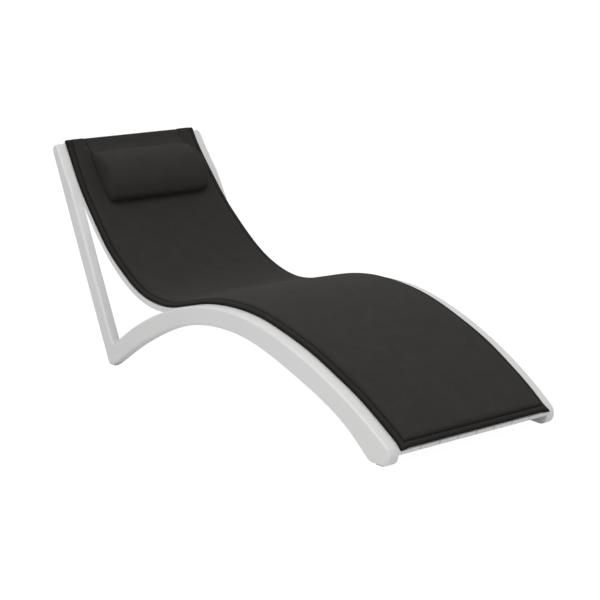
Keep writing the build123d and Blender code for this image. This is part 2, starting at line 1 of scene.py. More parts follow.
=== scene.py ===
"""Slatted sun lounger with a seat pad and a head pillow: materials, soft goods, light and camera.

Everything follows the deck line, the upper surface of the slats in side view. A place on it is a
station, the distance along the line from the head end, a height square to it, and a cross
position y. Lengths are in metres and angles in degrees.
"""
import bmesh
import bpy
import numpy as np
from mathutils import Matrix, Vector


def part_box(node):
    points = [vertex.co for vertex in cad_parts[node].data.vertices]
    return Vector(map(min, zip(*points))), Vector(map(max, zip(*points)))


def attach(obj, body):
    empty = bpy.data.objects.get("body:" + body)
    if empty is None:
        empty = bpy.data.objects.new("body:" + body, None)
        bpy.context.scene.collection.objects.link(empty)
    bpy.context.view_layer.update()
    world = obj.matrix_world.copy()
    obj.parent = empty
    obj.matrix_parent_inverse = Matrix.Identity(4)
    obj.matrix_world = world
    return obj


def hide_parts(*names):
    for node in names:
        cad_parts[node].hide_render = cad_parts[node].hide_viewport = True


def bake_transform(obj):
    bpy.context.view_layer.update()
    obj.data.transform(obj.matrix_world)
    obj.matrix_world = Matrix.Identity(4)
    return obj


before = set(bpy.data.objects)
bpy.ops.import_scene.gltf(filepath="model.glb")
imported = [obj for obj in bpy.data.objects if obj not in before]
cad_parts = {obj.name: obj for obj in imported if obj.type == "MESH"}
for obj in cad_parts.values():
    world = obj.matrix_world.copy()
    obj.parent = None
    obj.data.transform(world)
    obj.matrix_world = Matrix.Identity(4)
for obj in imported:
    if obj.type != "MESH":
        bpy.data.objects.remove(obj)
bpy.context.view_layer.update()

# Deck line, from the head to the foot: radius (or length, where straight) and turn of each run
HEAD_SLOPE = -58.5
DECK_RUNS = [
    (1.130, 17.5),
    (0.620, 14.0),
    (0.352, 42.0),
    (0.088, 0.0),
    (0.700, -29.0),
    (1.245, -22.4),
]
RISE, KNEE, CALF = 3, 4, 5
SLAT_THICKNESS = 0.014

# Plan: both sides bow outwards on one large radius
FRAME_INNER = 0.2632
FRAME_THICKNESS = 0.0290
BOW_RADIUS = 10.9
WIDEST_X = 0.185
PAD_HALF = 0.263


def run_length(radius, turn):
    """Length of one run; a straight run states its length in place of a radius."""
    return radius * np.radians(abs(turn)) if turn else radius


run_ends = np.cumsum([0.0] + [run_length(radius, turn) for radius, turn in DECK_RUNS])
run_headings = HEAD_SLOPE + np.cumsum([0.0] + [turn for _, turn in DECK_RUNS])
DECK_LENGTH = run_ends[-1]

# The head end of the deck line, from the box of the slat beside the middle
slat_low, slat_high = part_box("slat_1_left")
DECK_START = (
    slat_low[0] - SLAT_THICKNESS * np.sin(np.radians(HEAD_SLOPE)),
    slat_high[2],
)

# Fine steps along the deck line, summed once
FINE_STEPS = 6000
fine_station = np.linspace(0.0, DECK_LENGTH, FINE_STEPS)
fine_heading = np.radians(np.interp(fine_station, run_ends, run_headings))
step = fine_station[1]


def running_sum(values):
    """Integral of even samples from the first to each, by trapezia."""
    return np.concatenate([[0.0], np.cumsum((values[1:] + values[:-1]) / 2) * step])


fine_x = DECK_START[0] + running_sum(np.cos(fine_heading))
fine_z = DECK_START[1] + running_sum(np.sin(fine_heading))


def along_run(run, share):
    """Station at a share of one run of the deck line."""
    return run_ends[run] + share * (run_ends[run + 1] - run_ends[run])


def deck_heading(station):
    """Angle of the deck line above level, in radians."""
    return np.interp(station, fine_station, fine_heading)


def deck_place(station, height):
    """x and z at a station and a height; beyond either end the line runs on straight."""
    station, height = np.broadcast_arrays(station, height)
    inside = np.clip(station, 0.0, DECK_LENGTH)
    heading = deck_heading(inside)
    beyond = station - inside
    x = np.interp(inside, fine_station, fine_x) + beyond * np.cos(heading)
    z = np.interp(inside, fine_station, fine_z) + beyond * np.sin(heading)
    return x - height * np.sin(heading), z + height * np.cos(heading)


def side_y(x, half):
    """Half-width at x of the bowed edge, an arc whose greatest half-width is half."""
    return half - BOW_RADIUS + np.sqrt(BOW_RADIUS ** 2 - (x - WIDEST_X) ** 2)


def smooth(t):
    """Smooth step from 0 to 1: three times the square less twice the cube."""
    t = np.clip(t, 0.0, 1.0)
    return t * t * (3 - 2 * t)


def soft_min(values, softness):
    """Smooth least of several arrays: their least, lowered where others come near it."""
    least = np.min(values, axis=0)
    return least - softness * np.log(sum(np.exp(-(v - least) / softness) for v in values))


def round_rise(distance, reach):
    """Quarter-round rise from 0 at an edge to 1 at a reach from it."""
    return np.sqrt(1 - (1 - np.clip(distance / reach, 0, 1)) ** 2)


def bell(distance, width):
    """Bell curve: 1 at no distance, falling as the exponential of minus its square in widths."""
    return np.exp(-(distance / width) ** 2)


def lengths_along(path):
    """Distance along a path to each of its points."""
    return np.concatenate([[0], np.cumsum(np.linalg.norm(np.diff(path, axis=0), axis=1))])


def grid_quads(grid):
    """Quads between neighbours of a grid of vertex numbers."""
    return np.stack([grid[:-1, :-1], grid[:-1, 1:], grid[1:, 1:], grid[1:, :-1]], -1).reshape(-1, 4)


def tube_quads(rows, columns):
    """Quads of a tube whose rows of vertices are closed rings."""
    return grid_quads(np.arange(rows)[:, None] * columns + np.append(np.arange(columns), 0))


def link_piece(name, mesh, material):
    """Object of a mesh with smooth shading and one material."""
    mesh.polygons.foreach_set("use_smooth", np.ones(len(mesh.polygons), bool))
    mesh.materials.append(material)
    piece = bpy.data.objects.new(name, mesh)
    bpy.context.scene.collection.objects.link(piece)
    return piece


def make_piece(name, points, faces, material, uv=None):
    """Piece from arrays of points and faces, with one material and, if given, UVs per point."""
    mesh = bpy.data.meshes.new(name)
    mesh.from_pydata(np.asarray(points).reshape(-1, 3).tolist(), [], [list(face) for face in faces])
    work = bmesh.new()
    work.from_mesh(mesh)
    bmesh.ops.recalc_face_normals(work, faces=work.faces)
    work.to_mesh(mesh)
    work.free()
    if uv is not None:
        corners = np.zeros(len(mesh.loops), np.int32)
        mesh.loops.foreach_get("vertex_index", corners)
        per_corner = np.asarray(uv).reshape(-1, 2)[corners].astype(np.float32)
        mesh.uv_layers.new(name="weave").data.foreach_set("uv", per_corner.ravel())
    return link_piece(name, mesh, material)


# Materials

def feed(tree, node, inputs):
    """Set a node's sockets, by name or number, to values or to the sockets that feed them."""
    for key, value in dict(inputs).items():
        if isinstance(value, bpy.types.NodeSocket):
            tree.links.new(value, node.inputs[key])
        else:
            node.inputs[key].default_value = value


def put(tree, kind, inputs=(), **settings):
    """Add a node with its settings and what its sockets hold."""
    node = tree.nodes.new(kind)
    for name, value in settings.items():
        setattr(node, name, value)
    feed(tree, node, inputs)
    return node


def math_of(tree, operation, first, second=0.0):
    """Result socket of one Math node."""
    return put(tree, "ShaderNodeMath", {0: first, 1: second}, operation=operation).outputs[0]


def plus(tree, first, second):
    """Sum of two sockets or numbers."""
    return math_of(tree, "ADD", first, second)


def less(tree, first, second):
    """The first socket or number less the second."""
    return math_of(tree, "SUBTRACT", first, second)


def times(tree, first, second):
    """Product of two sockets or numbers."""
    return math_of(tree, "MULTIPLY", first, second)


def vector_of(tree, operation, first, second):
    """Result socket of one Vector Math node."""
    inputs = {0: first, 1: second}
    return put(tree, "ShaderNodeVectorMath", inputs, operation=operation).outputs[0]


def ranged(tree, value, low, high, to_low, to_high):
    """Value remapped from one range to another, clamped."""
    inputs = {0: value, 1: low, 2: high, 3: to_low, 4: to_high}
    return put(tree, "ShaderNodeMapRange", inputs).outputs[0]


def noise(tree, vector, scale, detail=3.0, roughness=0.5):
    """Noise socket from 0 to 1 at so many cells per metre."""
    inputs = {"Vector": vector, "Scale": scale, "Detail": detail, "Roughness": roughness}
    return put(tree, "ShaderNodeTexNoise", inputs).outputs[0]


def bump(tree, strength, distance, height, **normal):
    """Normal socket of one Bump node, over another normal if given."""
    inputs = {"Strength": strength, "Distance": distance, "Height": height, **normal}
    return put(tree, "ShaderNodeBump", inputs).outputs[0]


def mixed(tree, factor, first, second):
    """Colour between two colours by a factor."""
    inputs = {0: factor, 6: first, 7: second}
    return put(tree, "ShaderNodeMix", inputs, data_type="RGBA").outputs[2]


def object_place(tree):
    """Place on the piece, in metres."""
    return put(tree, "ShaderNodeTexCoord").outputs["Object"]


def attribute(tree, name):
    """Value of one of the piece's own attributes."""
    return put(tree, "ShaderNodeAttribute", attribute_name=name).outputs["Fac"]


def opaque(red, green, blue):
    """Colour from its three parts."""
    return red, green, blue, 1.0


def new_group(name, inputs, outputs):
    """Empty node group with named sockets; returns its tree, input sockets and output node."""
    tree = bpy.data.node_groups.new(name, "ShaderNodeTree")
    for label, kind, value in inputs:
        socket = tree.interface.new_socket(label, in_out="INPUT", socket_type=kind)
        if value is not None:
            socket.default_value = value
    for label, kind in outputs:
        tree.interface.new_socket(label, in_out="OUTPUT", socket_type=kind)
    given = tree.nodes.new("NodeGroupInput").outputs[:len(inputs)]
    return tree, given, tree.nodes.new("NodeGroupOutput")


WANDER = 0.0006
SLUB_SCALE, SLUB_STRETCH = 90.0, 9.0
# Mean height of a thread, and the strength of the painted shade of the threads about it
THREAD_MEAN, THREAD_SHADE_CONTRAST = 0.62, 0.35


def woven_group():
    """Plain weave: two crossed sine waves of one pitch, with the warp on top where their product
    is positive and the weft elsewhere.

    Slubs are noise drawn out along either direction, a broad noise shifts the tone, and the tone
    also holds painted shade: lighter on the threads' crowns and darker in the hollows between them.
    """
    tree, (vector, threads, relief, mottle), out = new_group(
        "plain_weave",
        [
            ("Vector", "NodeSocketVector", None),
            ("Threads", "NodeSocketFloat", 900.0),
            ("Relief", "NodeSocketFloat", 0.5),
            ("Mottle", "NodeSocketFloat", 0.2),
        ],
        [("Tone", "NodeSocketFloat"), ("Normal", "NodeSocketVector")],
    )
    wobble = put(tree, "ShaderNodeTexNoise", {"Vector": vector, "Scale": 60.0, "Detail": 2.0})
    shift = vector_of(tree, "MULTIPLY", wobble.outputs[1], (WANDER, WANDER, 0.0))
    parts = put(tree, "ShaderNodeSeparateXYZ", {0: vector_of(tree, "ADD", vector, shift)})
    waves = [
        math_of(tree, "SINE", times(tree, times(tree, parts.outputs[axis], threads), np.pi))
        for axis in (0, 1)
    ]
    over = math_of(tree, "GREATER_THAN", times(tree, waves[0], waves[1]), 0.0)
    warp = times(tree, math_of(tree, "ABSOLUTE", waves[0]), over)
    weft = times(tree, math_of(tree, "ABSOLUTE", waves[1]), less(tree, 1.0, over))
    thread = plus(tree, warp, weft)
    slubs = [
        noise(tree, vector_of(tree, "MULTIPLY", vector, stretch), SLUB_SCALE)
        for stretch in ((1.0, SLUB_STRETCH, 1.0), (SLUB_STRETCH, 1.0, 1.0))
    ]
    fleck = plus(tree, *slubs)
    broad = noise(tree, vector, 14.0, 3.0)
    spread = times(tree, less(tree, plus(tree, fleck, broad), 1.5), mottle)
    # Painted shade of the weave's relief: the threads' crowns lighter, the hollows between them
    # darker
    painted_thread_shade = times(tree, less(tree, thread, THREAD_MEAN), THREAD_SHADE_CONTRAST)
    height = plus(tree, thread, times(tree, fleck, 0.6))
    feed(tree, out, {
        "Tone": plus(tree, plus(tree, spread, painted_thread_shade), 0.5),
        "Normal": bump(tree, relief, 0.0004, height),
    })
    return tree


def moulded_group():
    """Moulded resin: a fine matt grain over faint flow ripples, with scuffs and a shift of tone."""
    tree, (vector, grain, ripple), out = new_group(
        "moulded_grain",
        [
            ("Vector", "NodeSocketVector", None),
            ("Grain", "NodeSocketFloat", 0.12),
            ("Ripple", "NodeSocketFloat", 0.1),
        ],
        [("Tone", "NodeSocketFloat"), ("Wear", "NodeSocketFloat"), ("Normal", "NodeSocketVector")],
    )
    fine = noise(tree, vector, 1400.0, 2.0)
    flow = noise(tree, vector, 22.0, 2.0)
    broad = noise(tree, vector, 3.0, 3.0)
    scuffs = noise(tree, vector_of(tree, "MULTIPLY", vector, (1.0, 1.0, 0.25)), 160.0, 5.0, 0.7)
    height = plus(tree, times(tree, fine, grain), times(tree, flow, times(tree, ripple, 8.0)))
    feed(tree, out, {
        "Tone": plus(tree, times(tree, broad, 0.7), times(tree, flow, 0.3)),
        "Wear": ranged(tree, scuffs, 0.60, 0.78, 0.0, 1.0),
        "Normal": bump(tree, 1.0, 0.0003, height),
    })
    return tree


def settled_dust_group():
    """Mask of the dust that settles on what faces up, broken up by noise."""
    tree, (vector, amount), out = new_group(
        "settled_dust",
        [("Vector", "NodeSocketVector", None), ("Amount", "NodeSocketFloat", 0.1)],
        [("Mask", "NodeSocketFloat")],
    )
    facing = put(tree, "ShaderNodeNewGeometry").outputs["Normal"]
    up = put(tree, "ShaderNodeSeparateXYZ", {0: facing}).outputs[2]
    patch = ranged(tree, noise(tree, vector, 30.0, 5.0, 0.65), 0.45, 0.75, 0.2, 1.0)
    mask = times(tree, ranged(tree, up, 0.2, 1.0, 0.0, 1.0), patch)
    feed(tree, out, {"Mask": times(tree, mask, amount)})
    return tree


weave_tree = woven_group()
mould_tree = moulded_group()
dust_tree = settled_dust_group()


def new_material(name):
    """Material with a bare tree; returns it, its tree and its shader node."""
    material = bpy.data.materials.new(name)
    material.use_nodes = True
    tree = material.node_tree
    return material, tree, tree.nodes["Principled BSDF"]


def dust_mask(tree, place, amount):
    """Mask of the settled dust at a place."""
    inputs = {"Vector": place, "Amount": amount}
    return put(tree, "ShaderNodeGroup", inputs, node_tree=dust_tree).outputs["Mask"]


def resin_material(name, light, dark, rough=0.42):
    """Satin moulded resin between two close tones, with faint scuffs and dust."""
    material, tree, shader = new_material(name)
    place = object_place(tree)
    mould = put(tree, "ShaderNodeGroup", {"Vector": place}, node_tree=mould_tree)
    wear = mould.outputs["Wear"]
    base = mixed(tree, ranged(tree, mould.outputs["Tone"], 0.35, 0.65, 0.0, 1.0), dark, light)
    scuffed = mixed(tree, times(tree, wear, 0.10), base, opaque(0.50, 0.49, 0.47))
    feed(tree, shader, {
        "Base Color": mixed(tree, dust_mask(tree, place, 0.12), scuffed, opaque(0.52, 0.50, 0.46)),
        "Roughness": ranged(tree, wear, 0.0, 1.0, rough, rough + 0.2),
        "Normal": mould.outputs["Normal"],
        "Specular IOR Level": 0.42,
    })
    return material


# Seat pad: widths of the sewn border and of the binding round its edge, and its stitches
BORDER = 0.0168
BINDING = 0.0038
STITCH_ROWS = (BINDING - 0.0009, BORDER - 0.0030, BORDER + 0.0040)
STITCH_PITCH = 0.0036
STITCH_SHARE = 0.62
STITCH_CORE, STITCH_HALF = 0.0003, 0.0005


def stitch_mask(tree, edge):
    """Mask of running stitches: dashes along rows at given distances from the piece's edge."""
    turns = math_of(tree, "DIVIDE", attribute(tree, "along"), STITCH_PITCH)
    dash = math_of(tree, "LESS_THAN", math_of(tree, "FRACT", turns), STITCH_SHARE)
    total = 0.0
    for row in STITCH_ROWS:
        away = math_of(tree, "ABSOLUTE", less(tree, edge, row))
        total = plus(tree, total, ranged(tree, away, STITCH_CORE, STITCH_HALF, 1.0, 0.0))
    return times(tree, math_of(tree, "MINIMUM", total, 1.0), dash)


def cloth_material(name, light, dark, threads=900.0, relief=0.6, from_uv=True, bordered=False):
    """Plain woven cloth between two tones, read from the piece's own UV map or its place."""
    material, tree, shader = new_material(name)
    place = object_place(tree)
    on_cloth = put(tree, "ShaderNodeUVMap", uv_map="weave").outputs[0] if from_uv else place
    inputs = {"Vector": on_cloth, "Threads": threads, "Relief": relief, "Mottle": 0.25}
    weave = put(tree, "ShaderNodeGroup", inputs, node_tree=weave_tree)
    tone, normal = weave.outputs["Tone"], weave.outputs["Normal"]
    base = mixed(tree, tone, dark, light)
    colour = mixed(tree, dust_mask(tree, place, 0.03), base, opaque(0.30, 0.28, 0.25))
    if bordered:
        # The border is a shade darker than the panel, and the binding round its edge is painted
        # near black: the binding's own darker cloth together with painted shadow of the gap beneath
        # the pad's edge
        edge = attribute(tree, "edge")
        inside = ranged(tree, edge, BORDER - 0.001, BORDER + 0.001, 0.80, 1.0)
        bound = ranged(tree, edge, BINDING - 0.0004, BINDING + 0.0004, 0.28, 1.0)
        colour = mixed(tree, times(tree, inside, bound), opaque(0, 0, 0), colour)
        stitches = stitch_mask(tree, edge)
        colour = mixed(tree, times(tree, stitches, 0.5), colour, opaque(0.045, 0.042, 0.039))
        normal = bump(tree, 0.6, 0.0005, stitches, Normal=normal)
    feed(tree, shader, {
        "Base Color": colour,
        "Roughness": ranged(tree, tone, 0.2, 0.8, 0.95, 0.82),
        "Normal": normal,
        "Sheen Weight": 0.06,
        "Sheen Roughness": 0.5,
        "Sheen Tint": opaque(0.5, 0.48, 0.45),
        "Specular IOR Level": 0.12,
    })
    return material


def steel_material():
    """Zinc plated screw steel with turned and blotched zinc."""
    material, tree, shader = new_material("screw_zinc")
    blotch = noise(tree, object_place(tree), 400.0, 4.0)
    share = ranged(tree, blotch, 0.3, 0.7, 0.0, 1.0)
    feed(tree, shader, {
        "Base Color": mixed(tree, share, opaque(0.42, 0.43, 0.44), opaque(0.66, 0.66, 0.65)),
        "Roughness": ranged(tree, blotch, 0.3, 0.7, 0.28, 0.5),
        "Normal": bump(tree, 0.3, 0.0002, blotch),
        "Metallic": 1.0,
    })
    return material


resin = resin_material("resin_white", opaque(0.74, 0.74, 0.735), opaque(0.71, 0.71, 0.705))
pad_cloth = cloth_material(
    "pad_canvas", opaque(0.037, 0.034, 0.031), opaque(0.019, 0.0174, 0.0158), bordered=True,
)
pillow_cloth = cloth_material(
    "pillow_canvas", opaque(0.038, 0.035, 0.032), opaque(0.019, 0.0175, 0.016),
)
band_cloth = cloth_material(
    "band_canvas", opaque(0.040, 0.037, 0.034), opaque(0.020, 0.0185, 0.017),
)
tie_cloth = cloth_material(
    "tie_webbing", opaque(0.045, 0.042, 0.040), opaque(0.022, 0.020, 0.019),
    threads=650.0, relief=0.8, from_uv=False,
)
rubber = resin_material(
    "glide_rubber_grey", opaque(0.60, 0.60, 0.595), opaque(0.54, 0.54, 0.535), rough=0.7,
)
steel = steel_material()


# Side frames: one moulded profile each, rounded along its edges

HEAD_DEPTH = 0.0319
HEAD_ROUND = 0.0135
GLIDE_PROUD = 0.0015
LEG_ANGLE = 90 + 28.2
LEG_WIDTH = 0.0490
LEG_BLEND = 0.180
LEG_THINNING = 0.0012
THINS_BELOW, THINS_OVER = 0.066, 0.05
CROTCH_REACH = 0.0200
CROTCH_ROUND = 0.012
HEEL_RADIUS = 0.030
HEEL_FULLNESS = 0.15
HEEL_SOFTNESS = 0.006
HEEL_POWER = 1.4
HEEL_POINTS = 30
SOLE_TURN = 31.4
SOLE_RUN = 0.165
ARCH_POINTS = 40
FRONT_FOOT_ROUND = 0.028
FOOT_POINTS = 28
FRONT_SOLE = 0.040
FRONT_SOLE_ROUND = 0.020
DECK_BEYOND_FRAME = 0.0075
OUTER_ROUND = 0.0065
INNER_ROUND = 0.0006
OUTER_STEPS, INNER_STEPS = 8, 5
BLEND_SEARCH = 0.4
HEAD_CLEAR = 1.3
JOIN_GAP = 0.002
BOW_REACH, BOW_SPACING = 0.74, 0.02

# Underside from the arch to the toe: run of the deck line, share of that run and depth below it
UNDERSIDE = (
    (RISE, 0.06, 0.0535),
    (KNEE, 0.10, 0.0500),
    (KNEE, 0.60, 0.0530),
    (CALF, 0.27, 0.0600),
    (CALF, 0.72, 0.0615),
)

arch_meets = along_run(RISE, 0.91)
frame_end = DECK_LENGTH - DECK_BEYOND_FRAME - FRONT_FOOT_ROUND / 2


def step_from(point, angle, reach):
    """Point reached from a point by a length in a direction, in side view."""
    turn = np.radians(angle)
    return np.array([point[0] + reach * np.cos(turn), point[1] + reach * np.sin(turn)])


def meet(point, angle, other, other_angle):
    """Crossing of two lines in side view, each given by a point and a direction."""
    a, b = step_from((0, 0), angle, 1), step_from((0, 0), other_angle, 1)
    across = a[0] * b[1] - a[1] * b[0]
    reach = ((other[0] - point[0]) * b[1] - (other[1] - point[1]) * b[0]) / across
    return step_from(point, angle, reach)


def around(centre, radius, turns):
    """Points at a radius, or at one radius each, from a centre in directions given in radians."""
    return centre + radius * np.stack([np.cos(turns), np.sin(turns)], -1)


def corner_arc(corner, heading_in, heading_out, radius, count=14):
    """Points of the arc that rounds a corner between two directions of travel."""
    turn = (heading_out - heading_in + 180) % 360 - 180
    side = np.sign(turn)
    start = step_from(corner, heading_in, -radius * np.tan(np.radians(abs(turn) / 2)))
    centre = step_from(start, heading_in + side * 90, radius)
    first = heading_in - side * 90
    return around(centre, radius, np.radians(np.linspace(first, first + turn, count)))


def deck_points(start, stop, height, spacing=0.009):
    """Even points along the deck at one height."""
    count = max(int(abs(stop - start) / spacing), 2)
    return np.stack(deck_place(np.linspace(start, stop, count), height), -1)


def soft_curve(points, first, last, count=14):
    """Smooth curve through points, leaving and arriving in the directions given in degrees.

    Each span is a cubic between its ends, and its slope at a point is the mean of both spans'
    directions, the nearer one counting more.
    """
    points = np.array(points)
    spans = np.linalg.norm(np.diff(points, axis=0), axis=1)
    slopes = np.zeros_like(points)
    before, after = spans[:-1, None], spans[1:, None]
    slopes[1:-1] = (
        (points[1:-1] - points[:-2]) / before * after + (points[2:] - points[1:-1]) / after * before
    ) / (before + after)
    slopes[0] = step_from((0, 0), first, 1)
    slopes[-1] = step_from((0, 0), last, 1)
    t = np.linspace(0, 1, count, endpoint=False)[None, :, None]
    a, b = points[:-1, None], points[1:, None]
    u, v = slopes[:-1, None] * spans[:, None, None], slopes[1:, None] * spans[:, None, None]
    curve = (
        (2 * t ** 3 - 3 * t ** 2 + 1) * a + (t ** 3 - 2 * t ** 2 + t) * u
        + (3 * t ** 2 - 2 * t ** 3) * b + (t ** 3 - t ** 2) * v
    )
    return np.concatenate([curve.reshape(-1, 2), points[-1:]])


def frame_outline():
    """Closed side view of a frame: down the upper edge to the foot, and back under the arch."""
    head_front = np.array(deck_place(0.0, 0.0))
    head_rear = np.array(deck_place(0.0, -HEAD_DEPTH))
    heel_line = step_from(head_rear, LEG_ANGLE - 90, HEEL_RADIUS)
    heel_centre = meet(heel_line, LEG_ANGLE, (0, HEEL_RADIUS + GLIDE_PROUD), 0)
    heel = step_from(heel_centre, LEG_ANGLE + 90, HEEL_RADIUS)
    leg_front = step_from(heel, LEG_ANGLE - 90, LEG_WIDTH)
    crotch = step_from(leg_front, LEG_ANGLE, CROTCH_REACH)
    # The arch's upper line is one arc, from the crotch until it runs with the deck
    top_turn = np.degrees(deck_heading(arch_meets))
    top_end = np.array(deck_place(arch_meets, 0.0))
    chord = top_end - crotch
    crotch_turn = 2 * np.degrees(np.arctan2(chord[1], chord[0])) - top_turn
    arch_radius = np.linalg.norm(chord) / 2 / np.sin(np.radians(crotch_turn - top_turn) / 2)
    arch_centre = step_from(top_end, top_turn - 90, arch_radius)
    round_reach = CROTCH_ROUND * np.tan(np.radians(crotch_turn - LEG_ANGLE + 180) / 2)
    arch_start = crotch_turn - np.degrees(round_reach / arch_radius)
    arch_turns = np.radians(np.linspace(arch_start, top_turn, ARCH_POINTS) + 90)
    arch = around(arch_centre, arch_radius, arch_turns)
    # The leg's front line leaves the upper edge where that edge has crossed it
    stations = np.linspace(0, BLEND_SEARCH, 2001)
    x, z = deck_place(stations, 0.0)
    normal = step_from((0, 0), LEG_ANGLE - 90, 1)
    ahead = (x - leg_front[0]) * normal[0] + (z - leg_front[1]) * normal[1]
    leaves = np.interp(0.0, ahead, stations)
    leaves_heading = np.degrees(deck_heading(leaves))
    blend_reach = LEG_BLEND * np.tan(np.radians((leaves_heading - LEG_ANGLE + 180) / 2))
    # Both feet end flat, as far above the floor as their glides stand proud
    heel_turns = np.radians(np.linspace(SOLE_TURN - 90, LEG_ANGLE - 270, HEEL_POINTS))
    fuller = 1 + HEEL_FULLNESS * np.sin(np.linspace(0, np.pi, HEEL_POINTS)) ** HEEL_POWER
    flat = 1 / np.abs(np.sin(heel_turns))
    heel_reach = HEEL_RADIUS * soft_min([fuller, flat], HEEL_SOFTNESS)
    sole = step_from(heel_centre, SOLE_TURN - 90, HEEL_RADIUS)
    foot_centre = np.array(deck_place(frame_end, -FRONT_FOOT_ROUND))
    foot_low = -np.degrees(np.arcsin((foot_centre[1] - GLIDE_PROUD) / FRONT_FOOT_ROUND))
    end_turn = np.degrees(deck_heading(frame_end)) + 90
    foot_turns = np.radians(np.linspace(end_turn, foot_low, FOOT_POINTS))
    below = [np.array(deck_place(along_run(run, share), -depth)) for run, share, depth in UNDERSIDE]
    toe_corner = np.array([foot_centre[0] - FRONT_SOLE, GLIDE_PROUD])
    toe_rise = np.arctan2(below[-1][1] - toe_corner[1], toe_corner[0] - below[-1][0])
    toe_turn = np.degrees(toe_rise)
    toe = corner_arc(toe_corner, 180, 180 - toe_turn, FRONT_SOLE_ROUND, 10)
    underside = soft_curve(
        [sole, step_from(sole, SOLE_TURN, SOLE_RUN), *below, toe[-1]], SOLE_TURN, -toe_turn,
    )
    return np.concatenate([
        corner_arc(head_front, HEAD_SLOPE + 90, HEAD_SLOPE, HEAD_ROUND),
        deck_points(HEAD_ROUND * HEAD_CLEAR, leaves - blend_reach - JOIN_GAP, 0.0),
        corner_arc(np.array(deck_place(leaves, 0.0)), leaves_heading, LEG_ANGLE - 180, LEG_BLEND),
        corner_arc(crotch, LEG_ANGLE - 180, crotch_turn, CROTCH_ROUND),
        arch[1:-1],
        deck_points(arch_meets, frame_end - 2 * JOIN_GAP, 0.0),
        around(foot_centre, FRONT_FOOT_ROUND, foot_turns),
        toe,
        underside[::-1][1:-1],
        around(heel_centre, heel_reach[:, None], heel_turns),
        corner_arc(head_rear, LEG_ANGLE, HEAD_SLOPE + 90, HEAD_ROUND),
    ])


def inset_normals(outline):
    """Normals into the material of a closed outline that runs clockwise.

    At a corner they are longer than 1, so that the inset of both its sides stays even.
    """
    ahead = np.roll(outline, -1, axis=0) - outline
    ahead /= np.linalg.norm(ahead, axis=1, keepdims=True)
    behind = np.roll(ahead, 1, axis=0)
    tangent = ahead + behind
    tangent /= np.linalg.norm(tangent, axis=1, keepdims=True)
    widen = 1 / np.clip((tangent * ahead).sum(1, keepdims=True), 0.8, 1)
    return np.stack([tangent[:, 1], -tangent[:, 0]], -1) * widen


def even_shading(piece):
    """Let large faces lead the normals, with sharp edges kept."""
    weigh = piece.modifiers.new("even_shading", "WEIGHTED_NORMAL")
    weigh.keep_sharp = True
    return weigh


def frame_piece(name, side):
    """One side frame: its outline carried across the thickness with rounded edges, then bowed.

    Both faces' edges are quarter rounds, each ring inset by the radius times 1 less the cosine.
    """
    outline = frame_outline()
    normals = inset_normals(outline)
    outer = np.radians(np.linspace(90, 0, OUTER_STEPS))
    inner = np.radians(np.linspace(0, 90, INNER_STEPS))
    insets = np.concatenate([OUTER_ROUND * (1 - np.cos(outer)), INNER_ROUND * (1 - np.cos(inner))])
    depths = np.concatenate([
        OUTER_ROUND * (1 - np.sin(outer)), FRAME_THICKNESS - INNER_ROUND * (1 - np.sin(inner)),
    ])
    rings = outline[None] + normals[None] * insets[:, None, None]
    count = len(outline)
    # Leg and arch are a little thinner than the rail, on the inner side
    below = np.interp(rings[..., 0], fine_x, fine_z) - rings[..., 1]
    turn = np.interp(rings[..., 0], fine_x, fine_heading)
    thinner = LEG_THINNING * smooth((below * np.cos(turn) - THINS_BELOW) / THINS_OVER)
    widths = depths[:, None] - thinner * (depths / FRAME_THICKNESS > 0.5)[:, None]
    points = np.stack([rings[..., 0], widths, rings[..., 1]], -1).reshape(-1, 3)
    faces = tube_quads(len(insets), count).tolist()
    faces.append(list(range(count))[::-1])
    faces.append(list(range((len(insets) - 1) * count, len(insets) * count)))
    mesh = bpy.data.meshes.new(name)
    mesh.from_pydata(points.tolist(), [], faces)
    # The side faces are cut across, so that they can follow the bow
    work = bmesh.new()
    work.from_mesh(mesh)
    bmesh.ops.triangulate(work, faces=[face for face in work.faces if len(face.verts) > 4])
    for x in np.arange(-BOW_REACH, BOW_REACH, BOW_SPACING):
        bmesh.ops.bisect_plane(
            work, geom=work.verts[:] + work.edges[:] + work.faces[:],
            plane_co=(x, 0, 0), plane_no=(1, 0, 0), dist=1e-5,
        )
    work.to_mesh(mesh)
    work.free()
    places = np.zeros(len(mesh.vertices) * 3, np.float32)
    mesh.vertices.foreach_get("co", places)
    places = places.reshape(-1, 3)
    outer_y = side_y(places[:, 0], FRAME_INNER + FRAME_THICKNESS)
    places[:, 1] = side * (outer_y - places[:, 1])
    mesh.vertices.foreach_set("co", places.ravel())
    if side > 0:
        mesh.flip_normals()
    mesh.update()
    piece = link_piece(name, mesh, resin)
    even_shading(piece).weight = 80
    return piece


for label, side in (("left", 1), ("right", -1)):
    piece = frame_piece(f"frame_{label}", side)
    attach(piece, "lounger")
    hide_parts(f"side_frame_{label}")


# Seat pad: a flat border sewn to a raised panel, drawn in between flared corners

